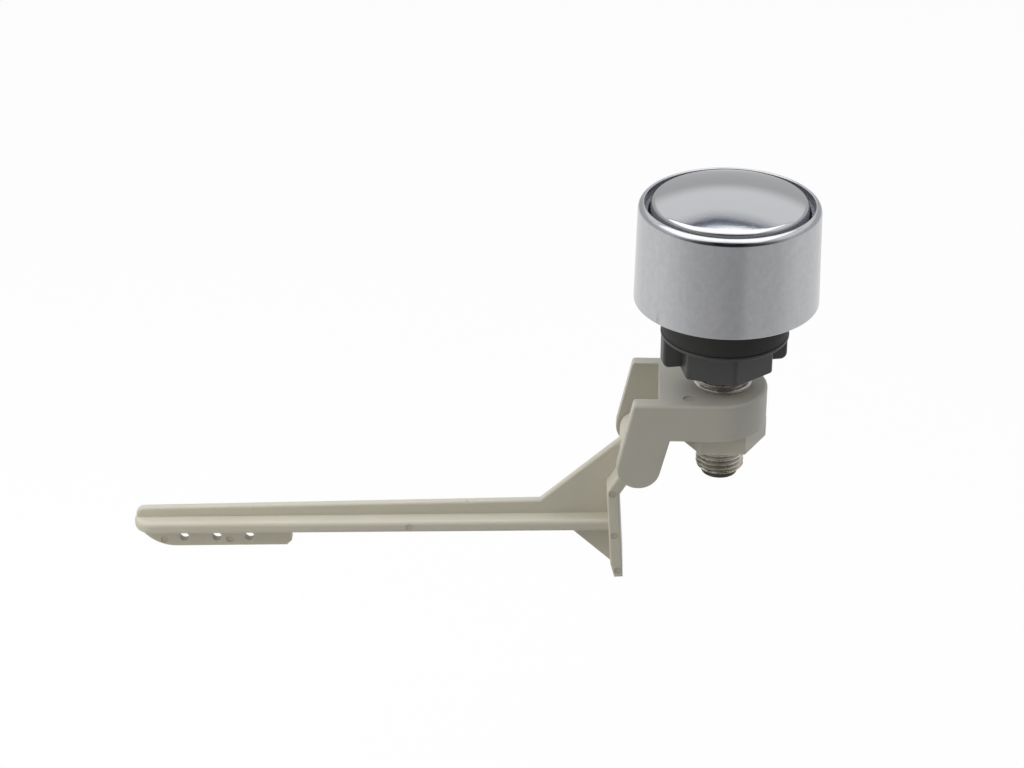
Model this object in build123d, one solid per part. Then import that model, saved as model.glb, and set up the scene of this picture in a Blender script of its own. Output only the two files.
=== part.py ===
from build123d import *
import os
from math import asin, atan2, cos, hypot, radians, sin, tan

os.makedirs("parts", exist_ok=True)

# Push-button cistern lever, in millimetres.
# The origin is on the shank's axis in the plane where the bezel seats on the cistern wall.
# +Z leaves the wall through the button, and the lever's arm stands out towards -X.

# Bezel: the chromed cup on the outside of the wall
bezel_back_diameter = 45.0
bezel_rim_diameter = 43.9
bezel_height = 25.6
bezel_lip_width = 1.6
bezel_lip_height = 2.0
bezel_lip_radius = 0.35
groove_width = 1.45
groove_depth = 2.4
bezel_back_recess = 3.0
bezel_floor_thickness = 3.0
wall_seat_width = 2.6
bezel_back_edge_radius = 0.4

# Push button: the chromed dome that slides in the bezel
button_proud = 0.2
button_crown = 3.4
button_edge_radius = 1.5
button_wall = 1.8
button_skirt_depth = 9.0
button_boss_diameter = 10.0
button_boss_length = 6.0

# Plunger: the rod that carries the press through the shank to the lever
plunger_diameter = 6.0
plunger_seat_depth = 7.0
plunger_foot_diameter = 9.0
plunger_foot_height = 1.5
plunger_foot_edge = 0.4

# Return spring: round wire between the shank's head and the button
spring_wire = 1.1
spring_mean_diameter = 14.0
spring_turns = 5

# Shank: the stepped threaded tube, drawn at its crest diameters
shank_head_diameter = 22.0
shank_head_thickness = 2.0
upper_thread_diameter = 14.4
lower_thread_diameter = 11.9
shoulder_depth = 23.1
lower_thread_length = 23.4
thread_lead_in = 0.9

# Wall washer: the tapered rubber ring between the wall and the nut
washer_front_diameter = 31.7
washer_back_diameter = 31.0
washer_thickness = 8.1

# Locknut: the black nut with a thin flange, a hexagon and two wings
locknut_flange_diameter = 31.4
locknut_flange_thickness = 0.9
locknut_flange_edge_radius = 0.3
locknut_across_flats = 21.7
locknut_hexagon_height = 8.9
locknut_edge_chamfer = 0.4
locknut_turn = 11.0
wing_span = 31.2
wing_thickness = 4.2
wing_height = 7.7
wing_corner_radius = 1.2

# Bracket: the ivory block with two ears that hold the lever's pivot
bracket_width = 26.0
bracket_thickness = 9.7
bracket_round_end_offset = 1.9
bracket_edge_radius = 0.8
ear_tip_reach = 22.0
ear_gap = 18.8
ear_root_reach = 12.9
ear_radius = 5.4
ear_edge_radius = 0.6
ear_bevel_angle = 4.0
slot_reach = 15.6
pivot_reach = 20.5
pivot_depth = 41.1
socket_depth = 2.2

# Bracket nut: the ivory hexagon that clamps the bracket to the shank
bracket_nut_across_flats = 19.5
bracket_nut_height = 5.5
bracket_nut_edge_chamfer = 0.3
bracket_nut_turn = 31.0

# Lever: one moulding, sized from its pivot with the arm level
lever_rest_tilt = 1.75
hub_radius = 4.5
trunnion_diameter = 5.0
arm_length = 128.7
flange_drop = 19.0
flange_thickness = 3.3
flange_root_width = 10.7
flange_tip_width = 9.8
flange_edge_radius = 1.2
web_thickness = 2.2
web_edge_radius = 0.7
web_root_height = 3.7
web_tip_height = 2.5
web_tip_setback = 0.6
web_tip_radius = 2.0
upper_gusset_reach = 24.9
lower_gusset_reach = 18.7
lower_gusset_drop = 12.6
paddle_width = 15.8
paddle_thickness = 3.0
paddle_bend_reach = 6.4
paddle_bend_drop = 9.9
paddle_length = 24.4
paddle_lean = 1.65
paddle_tip_taper = 0.8
paddle_tip_taper_length = 4.0
paddle_edge_radius = 0.5

# Chain rib: the drilled rib under the end of the arm
rib_depth = 5.4
rib_lead = 10.8
rib_corner_chamfer = 1.3
rib_nose_radius = 10.5
chain_hole_diameter = 2.5
chain_hole_pitch = 8.4
chain_hole_end_inset = 12.4
chain_hole_drop = 2.85
chain_hole_count = 3

# Ejector marks: shallow round prints of the mould's pins
ejector_mark_diameter = 1.9
ejector_mark_depth = 0.2
bracket_mark_diameter = 3.0
bracket_mark_reach = 8.5
bracket_mark_offset = 9.0
flange_mark_reach = 58.0
rib_mark_offset = 5.1
rib_mark_drop = 3.6

# Clearances
rod_clearance = 0.05
thread_clearance = 0.08
washer_bore_clearance = 0.4
trunnion_clearance = 0.06
socket_end_clearance = 0.2
button_guide_clearance = 0.6
hub_side_clearance = 0.3
spring_end_clearance = 0.05
washer_wall_gap = 0.3

# The button's radius, and levels along the shank's axis
button_radius = bezel_rim_diameter / 2 - bezel_lip_width - groove_width
floor_back = bezel_back_recess
floor_front = floor_back + bezel_floor_thickness
head_front = floor_front + shank_head_thickness
button_edge_level = bezel_height + button_proud
button_underside = button_edge_level - button_wall
washer_back = -washer_wall_gap - washer_thickness
flange_back = washer_back - locknut_flange_thickness
bracket_front = -shoulder_depth
bracket_back = bracket_front - bracket_thickness
shank_end = bracket_front - lower_thread_length


def turned(points):
    """A solid of revolution about Z from an outline of (radius, level) points."""
    outline = Plane.XZ * make_face(Polyline(*points, close=True))
    return revolve(outline, Axis.Z)


def round_bar(diameter, low, high):
    """A cylinder on the Z axis between two levels."""
    return Pos(0, 0, low) * Cylinder(diameter / 2, high - low, align=(Align.CENTER, Align.CENTER, Align.MIN))


def side_block(sketch, width):
    """A sketch drawn in (X, Z), thickened evenly about the XZ plane."""
    return extrude(Plane.XZ * sketch, width / 2, both=True)


def cross_bar(diameter, length):
    """A cylinder along Y through the origin."""
    return Rot(90, 0, 0) * Cylinder(diameter / 2, length)


def hexagon_bar(across_flats, low, high, turn, chamfer_length):
    """A hexagonal bar on the Z axis, a flat facing the turn angle, with its far edges broken."""
    outline = Rot(0, 0, turn + 30) * RegularPolygon(across_flats / 2, 6, major_radius=False)
    bar = extrude(Pos(0, 0, low) * outline, high - low)
    return chamfer(bar.faces().sort_by(Axis.Z)[0].edges(), chamfer_length)


def make_bezel():
    """A cup with a tapered flank, a rounded lip, a groove and a guide for the button, and a floor."""
    back_radius = bezel_back_diameter / 2
    rim_radius = bezel_rim_diameter / 2
    crest_radius = rim_radius - bezel_lip_width
    guide_radius = button_radius + button_guide_clearance
    bore_radius = upper_thread_diameter / 2 + thread_clearance
    seat_radius = back_radius - wall_seat_width
    groove_floor = bezel_height - groove_depth
    lip_start = (rim_radius, bezel_height - bezel_lip_height)
    crest = (crest_radius, bezel_height)
    section = make_face([
        TangentArc(lip_start, crest, tangent=(0, 1)),
        Polyline(
            crest,
            (crest_radius, groove_floor),
            (guide_radius, groove_floor),
            (guide_radius, floor_front),
            (bore_radius, floor_front),
            (bore_radius, floor_back),
            (seat_radius, floor_back),
            (seat_radius, 0),
            (back_radius, 0),
            lip_start,
        ),
    ])
    section = fillet(section.vertices().sort_by(Axis.Y)[-1], bezel_lip_radius)
    cup = revolve(Plane.XZ * section, Axis.Z)
    back_edge = cup.edges().group_by(Axis.Z)[0].sort_by(SortBy.LENGTH)[-1]
    return fillet(back_edge, bezel_back_edge_radius)


def make_push_button():
    """A domed cap with a rounded edge, a skirt and a boss that holds the plunger."""
    skirt_end = button_edge_level - button_skirt_depth
    boss_end = button_underside - button_boss_length
    crown_top = (0, button_edge_level + button_crown)
    crown_edge = (button_radius, button_edge_level)
    section = make_face([
        TangentArc(crown_top, crown_edge, tangent=(1, 0)),
        Polyline(
            crown_edge,
            (button_radius, skirt_end),
            (button_radius - button_wall, skirt_end),
            (button_radius - button_wall, button_underside),
            (0, button_underside),
            crown_top,
        ),
    ])
    outer_corner = section.vertices().group_by(Axis.X)[-1].sort_by(Axis.Y)[-1]
    cap = revolve(Plane.XZ * fillet(outer_corner, button_edge_radius), Axis.Z)
    cap += round_bar(button_boss_diameter, boss_end, button_underside)
    return cap - round_bar(plunger_diameter + 2 * rod_clearance, boss_end, boss_end + plunger_seat_depth)


def make_plunger():
    """A plain rod with a headed foot that stops against the end of the shank."""
    top = button_underside - button_boss_length + plunger_seat_depth
    foot = round_bar(plunger_foot_diameter, shank_end - plunger_foot_height, shank_end)
    foot = fillet(foot.edges().sort_by(Axis.Z)[0], plunger_foot_edge)
    return foot + round_bar(plunger_diameter, shank_end, top)


def make_return_spring():
    """An open coil of round wire that stands on the shank's head under the button."""
    low = head_front + spring_wire / 2 + spring_end_clearance
    high = button_underside - spring_wire / 2 - spring_end_clearance
    coil = Helix((high - low) / spring_turns, high - low, spring_mean_diameter / 2)
    section = Plane(coil @ 0, z_dir=coil % 0) * Circle(spring_wire / 2)
    return Pos(0, 0, low) * sweep(section, path=coil)


def make_shank():
    """A headed tube with a thick thread for the locknut and a thinner one for the bracket."""
    tube = round_bar(shank_head_diameter, floor_front, head_front)
    tube += round_bar(upper_thread_diameter, bracket_front, floor_front)
    tube += round_bar(lower_thread_diameter, shank_end, bracket_front)
    tube = chamfer(tube.edges().sort_by(Axis.Z)[0], thread_lead_in)
    return tube - round_bar(plunger_diameter + 2 * rod_clearance, shank_end, head_front)


def make_wall_washer():
    """A thick rubber ring that narrows towards the nut."""
    bore_radius = upper_thread_diameter / 2 + washer_bore_clearance
    return turned([
        (bore_radius, washer_back),
        (washer_back_diameter / 2, washer_back),
        (washer_front_diameter / 2, -washer_wall_gap),
        (bore_radius, -washer_wall_gap),
    ])


def make_locknut():
    """A thin flange and a hexagon with a flat wing on two opposite sides."""
    hexagon_end = flange_back - locknut_hexagon_height
    nut = round_bar(locknut_flange_diameter, flange_back, washer_back)
    nut = fillet(nut.edges().filter_by(GeomType.CIRCLE), locknut_flange_edge_radius)
    nut += hexagon_bar(locknut_across_flats, hexagon_end, flange_back, locknut_turn, locknut_edge_chamfer)
    wings = Pos(0, 0, flange_back - wing_height / 2) * Box(wing_span, wing_thickness, wing_height)
    outer_corners = wings.edges().filter_by(Axis.Y).group_by(Axis.Z)[0]
    nut += Rot(0, 0, locknut_turn) * fillet(outer_corners, wing_corner_radius)
    return nut - round_bar(upper_thread_diameter + 2 * thread_clearance, hexagon_end, washer_back)


def make_bracket():
    """A round-ended block, forked into two ears that lean down to the pivot."""
    pivot = (-pivot_reach, -pivot_depth)
    round_radius = bracket_width / 2
    body_length = ear_tip_reach - bracket_round_end_offset
    plan = Pos(-bracket_round_end_offset, 0) * Circle(round_radius)
    plan += Pos(-bracket_round_end_offset - body_length / 2, 0) * Rectangle(body_length, bracket_width)
    block = extrude(Pos(0, 0, bracket_back) * plan, bracket_thickness)

    ear_edges = [
        Pos(*pivot) * Edge.make_circle(ear_radius),
        Edge.make_line((-ear_tip_reach, bracket_front), (-ear_root_reach, bracket_back)),
    ]
    block += side_block(make_hull(ear_edges), bracket_width)
    block = fillet(block.faces().sort_by(Axis.Z)[-1].edges(), bracket_edge_radius)
    side_faces = block.faces().filter_by(Axis.Y).group_by(SortBy.AREA)[-1]
    ear_outlines = [e for face in side_faces for e in face.edges() if e.center().Z < bracket_back]
    block = fillet(ear_outlines, ear_edge_radius)

    depth = pivot_depth + ear_radius - shoulder_depth
    reach = 2 * pivot_reach
    slot = Pos(-slot_reach, 0, bracket_front) * Box(
        reach, ear_gap, 2 * depth, align=(Align.MAX, Align.CENTER, Align.CENTER)
    )
    under = Pos(0, 0, bracket_back) * Box(
        reach, ear_gap, 2 * depth, align=(Align.CENTER, Align.CENTER, Align.MAX)
    )
    block -= slot + under
    for side, outward in ((-1, Align.MAX), (1, Align.MIN)):
        bevel = Rot(-side * ear_bevel_angle, 0, 0) * Box(
            reach, bracket_width, depth, align=(Align.CENTER, outward, Align.MAX)
        )
        block -= Pos(-pivot_reach, side * bracket_width / 2, -pivot_depth) * bevel
    sockets = cross_bar(trunnion_diameter + 2 * trunnion_clearance, ear_gap + 2 * socket_depth)
    block -= Pos(-pivot_reach, 0, -pivot_depth) * sockets
    block -= Pos(-bracket_mark_reach, -bracket_mark_offset, 0) * round_bar(
        bracket_mark_diameter, bracket_front - ejector_mark_depth, bracket_front
    )
    return block - round_bar(lower_thread_diameter + 2 * thread_clearance, bracket_back, bracket_front)


def make_bracket_nut():
    """A plain hexagon nut under the bracket."""
    low = bracket_back - bracket_nut_height
    nut = hexagon_bar(
        bracket_nut_across_flats, low, bracket_back, bracket_nut_turn, bracket_nut_edge_chamfer
    )
    return nut - round_bar(lower_thread_diameter + 2 * thread_clearance, low, bracket_back)


def paddle_point(along, across):
    """A point of the paddle in (X, Z) from its bend: down its length, and towards the plunger."""
    lean = radians(paddle_lean)
    x = -paddle_bend_reach + along * sin(lean) + across * cos(lean)
    z = -paddle_bend_drop - along * cos(lean) + across * sin(lean)
    return (x, z)


def make_paddle():
    """The bent plate that the plunger pushes: a neck from the hub, then a plate with a thinned end."""
    half = paddle_thickness / 2
    neck_angle = atan2(paddle_bend_drop, paddle_bend_reach)
    mitre = half * tan((radians(90 + paddle_lean) - neck_angle) / 2)
    neck = (half * sin(neck_angle), half * cos(neck_angle))
    outline = [
        (-neck[0], neck[1]),
        paddle_point(-mitre, -half),
        paddle_point(paddle_length - paddle_tip_taper_length, -half),
        paddle_point(paddle_length, -half + paddle_tip_taper),
        paddle_point(paddle_length, half),
        paddle_point(mitre, half),
        (neck[0], -neck[1]),
    ]
    plate = side_block(make_face(Polyline(*outline, close=True)), paddle_width)
    return fillet(plate.edges().filter_by(Axis.Y, reverse=True), paddle_edge_radius)


def make_flange():
    """The flat bottom of the arm, a tapered strip with a round end and rounded edges."""
    tip_radius = flange_tip_width / 2
    root_radius = flange_root_width / 2
    strip = make_hull([
        Pos(tip_radius - arm_length, 0) * Edge.make_circle(tip_radius),
        Edge.make_line((-paddle_bend_reach, -root_radius), (-paddle_bend_reach, root_radius)),
    ])
    flange = extrude(Pos(0, 0, -flange_drop - flange_thickness) * strip, flange_thickness)
    flat_edges = flange.edges().group_by(Axis.Z)[0] + flange.edges().group_by(Axis.Z)[-1]
    return fillet([e for e in flat_edges if e.center().X < -2 * paddle_bend_reach], flange_edge_radius)


def make_web():
    """The upright web of the arm with a gusset on each side of the flange."""
    web_end = -arm_length + web_tip_setback
    root_top = (-upper_gusset_reach, -flange_drop + web_root_height)
    middle = -flange_drop - flange_thickness / 2
    arm = make_face(Polyline(
        (web_end, middle),
        (web_end, -flange_drop + web_tip_height),
        root_top,
        (-upper_gusset_reach, middle),
        close=True,
    ))
    tip_corner = arm.vertices().sort_by(Axis.X)[:2].sort_by(Axis.Y)[-1]
    arm = fillet(tip_corner, web_tip_radius)

    slope = atan2(-root_top[1], upper_gusset_reach) + asin(hub_radius / hypot(*root_top))
    lower_end = paddle_point(lower_gusset_drop + flange_drop + flange_thickness - paddle_bend_drop, 0)
    gussets = make_face(Polyline(
        root_top,
        (-hub_radius * sin(slope), hub_radius * cos(slope)),
        (0, 0),
        paddle_point(0, 0),
        lower_end,
        (-lower_gusset_reach, -flange_drop - flange_thickness),
        (-upper_gusset_reach, middle),
        close=True,
    ))

    web = side_block(arm + gussets, web_thickness)
    crest = [e for e in web.edges().filter_by(Plane.XZ) if e.center().Z > -flange_drop]
    return fillet([e for e in crest if e.center().X < -hub_radius], web_edge_radius)


def ejector_mark_places():
    """Centres of the mould prints on the lever's -Y side, down the paddle's edge and on the flange's."""
    paddle_marks = [
        paddle_point(0, 0),
        paddle_point(paddle_length / 2, 0),
        paddle_point(paddle_length - ejector_mark_diameter, paddle_tip_taper / 2),
    ]
    places = [(x, -paddle_width / 2, z) for x, z in paddle_marks]
    flange_slope = (flange_root_width - flange_tip_width) / 2 / arm_length
    flange_edge = -flange_root_width / 2 + flange_slope * flange_mark_reach
    places.append((-flange_mark_reach, flange_edge, -flange_drop - flange_thickness / 2))
    return places


def ejector_mark(x, y, z):
    """The shallow round print of one mould pin on a face that looks along -Y."""
    return Pos(x, y, z) * cross_bar(ejector_mark_diameter, 2 * ejector_mark_depth)


def on_pivot(moulding):
    """A piece of the lever, drawn from the pivot with the arm level, at its angle of rest."""
    return Pos(-pivot_reach, 0, -pivot_depth) * Rot(0, -lever_rest_tilt, 0) * moulding


def make_lever():
    """Hub, trunnions, paddle and arm as one moulding."""
    trunnion_length = ear_gap + 2 * (socket_depth - socket_end_clearance)
    lever = cross_bar(2 * hub_radius, ear_gap - 2 * hub_side_clearance)
    lever += cross_bar(trunnion_diameter, trunnion_length)
    lever += make_paddle()
    lever += make_flange()
    lever += make_web()
    for place in ejector_mark_places():
        lever -= ejector_mark(*place)
    return on_pivot(lever)


def make_chain_rib():
    """The rib under the end of the arm, with a curved nose and a row of holes for the chain's hook."""
    top = -flange_drop - flange_thickness
    bottom = top - rib_depth
    hole_reaches = [
        arm_length - chain_hole_end_inset - index * chain_hole_pitch for index in range(chain_hole_count)
    ]
    near_end = rib_lead - hole_reaches[-1]
    far_end = flange_edge_radius - arm_length
    nose_run = (rib_nose_radius ** 2 - (rib_nose_radius - rib_depth) ** 2) ** 0.5
    nose_turn = atan2(nose_run, rib_nose_radius - rib_depth) / 2
    nose_start = (far_end + nose_run, bottom)
    nose_middle = (
        nose_start[0] - rib_nose_radius * sin(nose_turn),
        bottom + rib_nose_radius * (1 - cos(nose_turn)),
    )
    outline = make_face([
        Polyline(
            (far_end, top),
            (near_end, top),
            (near_end, bottom + rib_corner_chamfer),
            (near_end - rib_corner_chamfer, bottom),
            nose_start,
        ),
        ThreePointArc(nose_start, nose_middle, (far_end, top)),
    ])
    rib = side_block(outline, web_thickness)
    for reach in hole_reaches:
        rib -= Pos(-reach, 0, top - chain_hole_drop) * cross_bar(chain_hole_diameter, 2 * web_thickness)
    for reach in (hole_reaches[0], hole_reaches[-1]):
        rib -= ejector_mark(-reach - rib_mark_offset, -web_thickness / 2, top - rib_mark_drop)
    return on_pivot(rib)


nodes = {
    "bezel": make_bezel,
    "push_button": make_push_button,
    "plunger": make_plunger,
    "return_spring": make_return_spring,
    "shank": make_shank,
    "wall_washer": make_wall_washer,
    "locknut": make_locknut,
    "bracket": make_bracket,
    "bracket_nut": make_bracket_nut,
    "lever": make_lever,
    "chain_rib": make_chain_rib,
}
for name, make in nodes.items():
    export_step(make(), f"parts/{name}.step")
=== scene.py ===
from math import radians

import bpy
import numpy as np
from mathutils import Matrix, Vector


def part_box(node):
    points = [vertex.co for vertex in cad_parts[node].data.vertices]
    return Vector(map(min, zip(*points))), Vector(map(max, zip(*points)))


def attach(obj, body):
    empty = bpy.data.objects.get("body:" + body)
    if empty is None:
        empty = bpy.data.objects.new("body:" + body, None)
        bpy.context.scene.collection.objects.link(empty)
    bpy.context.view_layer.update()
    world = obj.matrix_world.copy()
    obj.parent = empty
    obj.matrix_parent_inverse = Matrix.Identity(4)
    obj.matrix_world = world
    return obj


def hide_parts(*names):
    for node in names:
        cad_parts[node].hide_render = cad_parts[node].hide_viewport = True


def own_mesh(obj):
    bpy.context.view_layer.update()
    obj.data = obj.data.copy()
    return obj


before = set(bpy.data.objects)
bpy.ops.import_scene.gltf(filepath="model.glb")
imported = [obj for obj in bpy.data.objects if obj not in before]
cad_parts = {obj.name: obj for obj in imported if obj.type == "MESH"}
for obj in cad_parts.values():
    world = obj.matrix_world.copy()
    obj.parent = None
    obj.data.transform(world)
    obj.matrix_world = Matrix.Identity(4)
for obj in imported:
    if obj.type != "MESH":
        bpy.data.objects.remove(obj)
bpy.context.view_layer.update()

mm = 0.001


# Bezel: the cup that shows outside the cistern wall, moulded and plated with chrome.
# Its lip is a full round, its flank is satin and a little wider at the back,
# and its flat back rim is pulled onto the wall by the nut.
def turned_outline(corners, steps=7):
    """Corners (radius, height, rounding) of a closed outline, each replaced by an arc that is tangent
    to its two sides: the arc's centre lies on the corner's bisector, and its points turn evenly."""
    corners = np.array(corners, float) * mm
    point, rounding = corners[:, :2], corners[:, 2:]
    to_last = np.roll(point, 1, 0) - point
    to_next = np.roll(point, -1, 0) - point
    to_last /= np.linalg.norm(to_last, axis=1, keepdims=True)
    to_next /= np.linalg.norm(to_next, axis=1, keepdims=True)
    half = np.arccos(np.clip((to_last * to_next).sum(1, keepdims=True), -1, 1)) / 2
    bisector = to_last + to_next
    bisector /= np.linalg.norm(bisector, axis=1, keepdims=True)
    centre = point + bisector * rounding / np.sin(half)
    first = to_last * np.cos(half) - bisector
    last = to_next * np.cos(half) - bisector
    first /= np.linalg.norm(first, axis=1, keepdims=True)
    last /= np.linalg.norm(last, axis=1, keepdims=True)
    turn = np.pi - 2 * half[:, None]
    share = np.linspace(0, 1, steps)[None, :, None]
    spoke = np.sin((1 - share) * turn) * first[:, None] + np.sin(share * turn) * last[:, None]
    spoke /= np.sin(turn)
    return (centre[:, None] + rounding[:, None] * spoke).reshape(-1, 2)


def grid_piece(name, points, closed_rows, sharp=35):
    """A mesh from a grid of points (row, column, xyz). Four neighbours make a face, the last column
    joins the first, and so does the last row of a closed outline. Points that coincide become one."""
    rows, columns = points.shape[:2]
    row, column = np.meshgrid(np.arange(rows - (not closed_rows)), np.arange(columns), indexing="ij")
    near, far = row * columns, (row + 1) % rows * columns
    beside = (column + 1) % columns
    quads = np.stack([near + column, far + column, far + beside, near + beside], -1).reshape(-1, 4)
    places, index = np.unique(np.round(points.reshape(-1, 3), 8), axis=0, return_inverse=True)
    quads = index.reshape(-1)[quads]
    distinct = quads != np.roll(quads, 1, 1)
    sides = distinct.sum(1)
    triangles = quads[sides == 3][distinct[sides == 3]].reshape(-1, 3)
    mesh = bpy.data.meshes.new(name)
    mesh.from_pydata(places.tolist(), [], quads[sides == 4].tolist() + triangles.tolist())
    mesh.polygons.foreach_set("use_smooth", np.ones(len(mesh.polygons), bool))
    mesh.set_sharp_from_angle(angle=radians(sharp))
    piece = bpy.data.objects.new(name, mesh)
    bpy.context.scene.collection.objects.link(piece)
    return piece


def turned_grid(outline, columns=320):
    """An outline of (radius, height) carried once round Z: x = r cos a, y = r sin a, z = h."""
    around = np.linspace(0, 2 * np.pi, columns, endpoint=False)
    radius, height = outline[:, :1], outline[:, 1:]
    return np.stack([radius * np.cos(around), radius * np.sin(around), height + 0 * around], -1)


def store_share(piece, name, share):
    """A value from 0 to 1 kept at each point of a piece, worked out from the points' radius and height."""
    place = np.empty(len(piece.data.vertices) * 3)
    piece.data.vertices.foreach_get("co", place)
    x, y, z = place.reshape(-1, 3).T / mm
    values = np.clip(share(np.hypot(x, y), z), 0, 1)
    piece.data.attributes.new(name, "FLOAT", "POINT").data.foreach_set("value", values)


def add_node(tree, kind, inputs=None, **settings):
    """A node of a tree with its settings and its inputs, each a value or another node's output."""
    node = tree.nodes.new(kind)
    for key, value in settings.items():
        setattr(node, key, value)
    for key, value in (inputs or {}).items():
        if isinstance(value, bpy.types.NodeSocket):
            tree.links.new(value, node.inputs[key])
        else:
            node.inputs[key].default_value = value
    return node


def new_group(name, inputs, outputs):
    """An empty shader group with named inputs, a default number or vector for each, and number outputs."""
    group = bpy.data.node_groups.new(name, "ShaderNodeTree")
    for label, default in inputs.items():
        kind = "NodeSocketVector" if isinstance(default, tuple) else "NodeSocketFloat"
        group.interface.new_socket(label, in_out="INPUT", socket_type=kind).default_value = default
    for label in outputs:
        group.interface.new_socket(label, in_out="OUTPUT", socket_type="NodeSocketFloat")
    return group, group.nodes.new("NodeGroupInput").outputs, group.nodes.new("NodeGroupOutput")


def new_surface(piece, slot, **sockets):
    """A material named for its piece, with the Principled shader's own sockets set."""
    material = bpy.data.materials.new(piece.name + "_finish")
    material.use_nodes = True
    tree = material.node_tree
    shader = tree.nodes["Principled BSDF"]
    for label, value in sockets.items():
        shader.inputs[label.replace("_", " ")].default_value = value
    piece.data.materials.clear()
    piece.data.materials.append(material)
    return tree, shader


plating, plating_in, plating_out = new_group(
    "plating_marks",
    {"Pit spacing": 220.0, "Pit size": 0.05, "Streak": 0.3},
    ("Cloud", "Streak", "Pits", "Height"),
)
place = add_node(plating, "ShaderNodeTexCoord").outputs["Object"]
cloud = add_node(plating, "ShaderNodeTexNoise", {"Vector": place, "Scale": 90.0, "Detail": 4.0})
along = add_node(plating, "ShaderNodeMapping", {"Vector": place, "Scale": (1.0, 1.0, 0.7)})
streak = add_node(plating, "ShaderNodeTexNoise", {
    "Vector": along.outputs["Vector"], "Scale": 650.0, "Detail": 6.0, "Roughness": 0.75,
})
cells = add_node(plating, "ShaderNodeTexVoronoi", {
    "Vector": place, "Scale": plating_in["Pit spacing"], "Randomness": 1.0,
})
pit = add_node(plating, "ShaderNodeMath", {
    0: cells.outputs["Distance"], 1: plating_in["Pit size"],
}, operation="LESS_THAN")
chosen = add_node(plating, "ShaderNodeSeparateColor", {"Color": cells.outputs["Color"]})
bare_cells = 0.85
some = add_node(plating, "ShaderNodeMath", {
    0: chosen.outputs["Red"], 1: bare_cells,
}, operation="GREATER_THAN")
pits = add_node(plating, "ShaderNodeMath", {0: pit.outputs[0], 1: some.outputs[0]}, operation="MULTIPLY")
drawn = add_node(plating, "ShaderNodeMath", {
    0: streak.outputs["Fac"], 1: plating_in["Streak"],
}, operation="MULTIPLY")
swell = add_node(plating, "ShaderNodeMath", {0: cloud.outputs["Fac"], 1: drawn.outputs[0]}, operation="ADD")
height = add_node(plating, "ShaderNodeMath", {0: swell.outputs[0], 1: pits.outputs[0]}, operation="SUBTRACT")
plating.links.new(cloud.outputs["Fac"], plating_out.inputs["Cloud"])
plating.links.new(streak.outputs["Fac"], plating_out.inputs["Streak"])
plating.links.new(pits.outputs[0], plating_out.inputs["Pits"])
plating.links.new(height.outputs[0], plating_out.inputs["Height"])
# Down in a recess: dull plating, rougher and less metallic, in a lighter bluish grey that is a painted
# reflection.
dull_plating_reflection_grey, recess_rough, recess_metal = (0.3, 0.315, 0.35, 1.0), 0.5, 0.3


def finish_recess(tree, shader, colour, roughness):
    """The plating's colour and shine outside, and down in a recess thin, dull plating whose lighter,
    bluish grey is partly a painted reflection, by the share stored in the piece's recess attribute."""
    deep = add_node(tree, "ShaderNodeAttribute", attribute_name="recess").outputs["Fac"]
    tint = add_node(tree, "ShaderNodeMix", {
        "Factor": deep, 6: colour, 7: dull_plating_reflection_grey,
    }, data_type="RGBA")
    shine = add_node(tree, "ShaderNodeMix", {
        "Factor": deep, 2: roughness, 3: recess_rough,
    }, data_type="FLOAT")
    metal = add_node(tree, "ShaderNodeMapRange", {"Value": deep, "To Min": 1.0, "To Max": recess_metal})
    tree.links.new(tint.outputs[2], shader.inputs["Base Color"])
    tree.links.new(shine.outputs[0], shader.inputs["Roughness"])
    tree.links.new(metal.outputs["Result"], shader.inputs["Metallic"])


bezel_rim, bezel_back, lip_start, lip_height, lip_width, crest_round = 21.95, 22.5, 23.6, 2.0, 1.6, 0.35
groove_floor, guide_radius, back_hollow = 23.2, 19.5, 19.9
shank_hole, cup_floor_back, cup_floor_front = 7.28, 3.0, 6.0
dull_from, dull_fade, wall_slack = 25.0, 0.4, 0.05
satin_dark, satin_pale, pit_dark = (0.49, 0.495, 0.51, 1.0), (0.695, 0.7, 0.715, 1.0), (0.2, 0.19, 0.18, 1.0)
well_radius = bezel_rim - lip_width
lip_round = (lip_width ** 2 + lip_height ** 2) / (2 * lip_width)
lip_turn = np.arccos((well_radius + crest_round - bezel_rim + lip_round) / (lip_round - crest_round))
lip_corner = lip_start + lip_round * np.tan(lip_turn / 2)
crest_corner = lip_corner + lip_width / np.tan(lip_turn)
bezel = grid_piece("bezel_cup", turned_grid(turned_outline([
    (shank_hole, cup_floor_back, 0.0),
    (shank_hole, cup_floor_front, 0.0),
    (guide_radius, cup_floor_front, 0.4),
    (guide_radius, groove_floor, 0.2),
    (well_radius, groove_floor, 0.25),
    (well_radius, crest_corner, crest_round),
    (bezel_rim, lip_corner, lip_round),
    (bezel_back, 0.0, 0.4),
    (back_hollow, 0.0, 0.2),
    (back_hollow, cup_floor_back, 0.2),
], steps=12)), closed_rows=True)
tree, shader = new_surface(bezel, "bezel_chrome")
marks = add_node(tree, "ShaderNodeGroup", node_tree=plating)
marks.inputs["Pit spacing"].default_value = 180.0
marks.inputs["Pit size"].default_value = 0.05
marks.inputs["Streak"].default_value = 0.5
drawn_tint = add_node(tree, "ShaderNodeMix", {
    "Factor": marks.outputs["Streak"], 6: satin_dark, 7: satin_pale,
}, data_type="RGBA")
tint = add_node(tree, "ShaderNodeMix", {
    "Factor": marks.outputs["Pits"], 6: drawn_tint.outputs[2], 7: pit_dark,
}, data_type="RGBA")
satin = add_node(tree, "ShaderNodeMapRange", {
    "Value": marks.outputs["Cloud"], "To Min": 0.1, "To Max": 0.18,
})
relief = add_node(tree, "ShaderNodeBump", {
    "Height": marks.outputs["Height"], "Strength": 0.12, "Distance": 0.1 * mm,
})
tree.links.new(relief.outputs["Normal"], shader.inputs["Normal"])
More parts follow.
